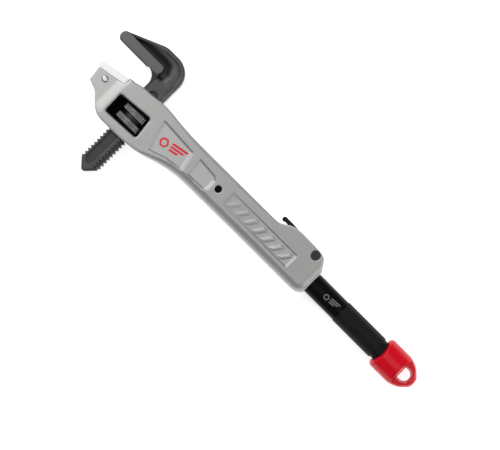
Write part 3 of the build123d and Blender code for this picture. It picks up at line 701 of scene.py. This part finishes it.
def bronze():
    finish = Finish("bronze", Metallic=0.9)
    turned = finish.noise(0.3, detail=2, stretch=(1, 8, 8))
    tarnish = finish.noise(4, detail=4)
    finish.set(
        Base_Color=finish.mix(tarnish, (0.42, 0.24, 0.1), (0.7, 0.46, 0.2)),
        Roughness=0.32 + tarnish * 0.15,
        Normal=finish.bump(turned, 0.012, 0.6),
    )
    return finish


# %% [markdown]
# ## Coatings, plastics and rubber
#
# The extension tube is black and glossy with a faint orange peel from the powder coat. The sleeve
# over it is satin. The end cap is moulded in glossy red plastic. A plain black would look painted on,
# so each coat has its own grain and its own dulled spots.


# %% Black coatings, red plastic, nylon and rubber
def black_gloss():
    finish = Finish("black_gloss", Metallic=0.0)
    peel = finish.noise(1.1, detail=2)
    dust = finish.noise(0.35, detail=2, offset=6).ramp(0.62, 0.75)
    finish.set(
        Base_Color=finish.mix(dust * 0.2, finish.mix(peel, 0.002, 0.006), 0.03),
        Roughness=0.24 + peel * 0.1 + dust * 0.1,
        Normal=finish.bump(peel, 0.02, 0.5),
    )
    finish.shader.inputs["Specular IOR Level"].default_value = 0.07
    return finish


def black_satin():
    finish = Finish("black_satin", Metallic=0.0)
    grain = finish.noise(0.4, detail=3)
    rub = finish.noise(8, detail=4, offset=2)
    finish.set(
        Base_Color=finish.mix(rub, 0.006, 0.012),
        Roughness=0.5 + grain * 0.15 - rub * 0.06,
        Normal=finish.bump(grain, 0.03, 0.7),
    )
    finish.shader.inputs["Specular IOR Level"].default_value = 0.15
    return finish


def black_nylon():
    finish = Finish("black_nylon", Metallic=0.0)
    grain = finish.noise(0.5, detail=3)
    finish.set(
        Base_Color=finish.mix(grain, 0.001, 0.002),
        Roughness=0.6 + grain * 0.15,
        Normal=finish.bump(grain, 0.04, 0.7),
    )
    finish.shader.inputs["Specular IOR Level"].default_value = 0.02
    return finish


def black_rubber():
    finish = Finish("black_rubber", Metallic=0.0)
    grain = finish.noise(0.3, detail=3)
    bloom = finish.noise(5, detail=3, offset=3)
    finish.set(
        Base_Color=finish.mix(bloom, 0.012, 0.03),
        Roughness=0.72 + grain * 0.15,
        Normal=finish.bump(grain, 0.04, 0.8),
    )
    return finish


def red_plastic():
    finish = Finish("red_plastic", Metallic=0.0)
    flow = finish.noise(11, detail=3, stretch=(2, 1, 1))
    grain = finish.noise(0.7, detail=2, offset=4)
    finish.set(
        Base_Color=finish.mix(flow, (0.68, 0.001, 0.012), (0.78, 0.003, 0.018)),
        Roughness=0.16 + grain * 0.06 + flow * 0.05,
        Normal=finish.bump(grain + flow * 0.6, 0.018, 0.5),
    )
    finish.shader.inputs["Specular IOR Level"].default_value = 0.24
    finish.shader.inputs["Coat Weight"].default_value = 0.05
    finish.shader.inputs["Coat Roughness"].default_value = 0.12
    return finish


FINISHES = {
    maker.__name__: maker()
    for maker in (
        cast_aluminium, forged_steel, plated_steel, blackened_steel, spring_steel, bronze,
        black_gloss, black_satin, black_nylon, black_rubber, red_plastic,
    )
}
slot_of = {part["node"]: part["material_slot"] for part in frame["record"]["subparts"]}
for piece in [o for o in scene.objects if "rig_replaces" in o]:
    name = piece["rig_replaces"][0]
    piece.data.materials.clear()
    piece.data.materials.append(FINISHES[slot_of[name]].material)
BY_NODE = {"heel_jaw_pin": polished_steel(), "lever_pivot_screw": screw_steel()}
for name, node in nodes.items():
    chosen = BY_NODE.get(name, FINISHES[slot_of[name]])
    if not node.material_slots:
        node.data.materials.append(None)
    for place in node.material_slots:
        place.material = chosen.material
print("finishes:", len(FINISHES))

# %% [markdown]
# ## The knurl in place
#
# The two lands of the nut are rolled alike, so one node group makes both bands. Its centre is read
# from the nut's own box, and each band becomes a plain mesh that turns with the nut.

# %% Knurl bands
knurl = knurl_nodes()
nut_low, nut_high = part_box("adjusting_nut")
nut_x, nut_z = (nut_low.x + nut_high.x) / 2, (nut_low.z + nut_high.z) / 2
for name, foot in (("knurl_low", nut_low.y + 0.001), ("knurl_high", nut_low.y + 0.012)):
    knurled_band(
        name,
        knurl,
        FINISHES["blackened_steel"].material,
        around=40,
        rows=3,
        row_pitch=0.002,
        radius=0.0159,
        centre=(nut_x, foot, nut_z),
    )

# %% [markdown]
# ## Printed marks
#
# On the sunk panel behind the window a plain mark is pad-printed in red: a hexagon, for a nut, and
# three speed stripes. The tube carries the same mark in grey. Such paint could be a mask in the
# finish below it, but a thin solid has a true edge that catches light, and stays a piece that can be
# left off. Each outline is cut into small triangles, laid on its surface and given a thickness.

# %% Paint and thin solids
PAINT_TOP, PAINT_FOOT = 0.00007, -0.00008  # above and below the painted surface


def print_paint(name, thin_colour, full_colour):
    """Pad-printing ink, a little thinner in places."""
    finish = Finish(name, Metallic=0.0)
    grain = finish.noise(0.5, detail=3)
    finish.set(
        Base_Color=finish.mix(grain, thin_colour, full_colour),
        Roughness=0.42 + grain * 0.16,
        Normal=finish.bump(grain, 0.02, 0.5),
    )
    return finish


def thin_prints(name, outlines, surface, finish, body):
    """Thin solids over the given outlines in millimetres, laid on surface(x, y) = z."""
    skin = bmesh.new()
    for outline in outlines:
        ring = [skin.verts.new((x * MM, y * MM, 0)) for x, y in outline]
        skin.faces.new(ring)
    bmesh.ops.triangulate(skin, faces=skin.faces)
    bmesh.ops.subdivide_edges(skin, edges=skin.edges, cuts=3, use_grid_fill=True)
    bmesh.ops.triangulate(skin, faces=skin.faces)
    raised = bmesh.ops.extrude_face_region(skin, geom=list(skin.faces))["geom"]
    top = {v for v in raised if isinstance(v, bmesh.types.BMVert)}
    for vert in skin.verts:
        vert.co.z = surface(vert.co.x, vert.co.y) + (PAINT_TOP if vert in top else PAINT_FOOT)
    bmesh.ops.recalc_face_normals(skin, faces=skin.faces)
    mesh = bpy.data.meshes.new(name)
    skin.to_mesh(mesh)
    skin.free()
    mesh.materials.append(finish.material)
    piece = bpy.data.objects.new(name, mesh)
    scene.collection.objects.link(piece)
    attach(piece, body)
    print(f"{name}: {len(outlines)} outlines, {len(mesh.polygons)} faces")


# %% Outlines of the mark
def turned(points, centre, degrees):
    """Points about a centre, turned and placed."""
    c, s = math.cos(math.radians(degrees)), math.sin(math.radians(degrees))
    return [(centre[0] + x * c - y * s, centre[1] + x * s + y * c) for x, y in points]


def hexagon_sides(outer, inner):
    """The six sides of a hexagon ring as separate four-cornered outlines."""
    corners = [(math.cos(math.radians(60 * k)), math.sin(math.radians(60 * k))) for k in range(7)]
    return [
        [(outer * a, outer * b), (outer * c, outer * d), (inner * c, inner * d), (inner * a, inner * b)]
        for (a, b), (c, d) in zip(corners, corners[1:])
    ]


def mark_outlines(centre, size, degrees):
    """A hexagon ring and three stripes beside it, size being the hexagon's radius."""
    outlines = hexagon_sides(size, size * 0.6)
    for level, length in ((0.72, 3.4), (0.08, 2.8), (-0.56, 1.9)):
        stripe = [(0, -0.21), (length, -0.21), (length + 0.25, 0.21), (0.25, 0.21)]
        outlines.append([(size * (x + 1.3), size * (y + level)) for x, y in stripe])
    return [turned(outline, centre, degrees) for outline in outlines]


print("the mark has", len(mark_outlines((0, 0), 1, 0)), "outlines")

# %% Marks on the panel and the tube
PANEL_FLOOR_Z = 0.0347
tube_low, tube_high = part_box("extension_tube")
tube_y, tube_z = (tube_low.y + tube_high.y) / 2, (tube_low.z + tube_high.z) / 2
tube_radius = (tube_high.z - tube_low.z) / 2


def panel_floor(x, y):
    return PANEL_FLOOR_Z


def tube_top(x, y):
    return tube_z + math.sqrt(tube_radius**2 - (y - tube_y) ** 2)


red_paint = print_paint("printed_red", (0.66, 0.004, 0.016), (0.78, 0.008, 0.024))
grey_paint = print_paint("printed_grey", (0.10, 0.095, 0.09), (0.2, 0.19, 0.185))
thin_prints("maker_mark", mark_outlines((-119.0, 4.0), 5.4, 10), panel_floor, red_paint, "housing")
thin_prints("tube_mark", mark_outlines((103.6, 9.3), 3.4, 3), tube_top, grey_paint, "extension")
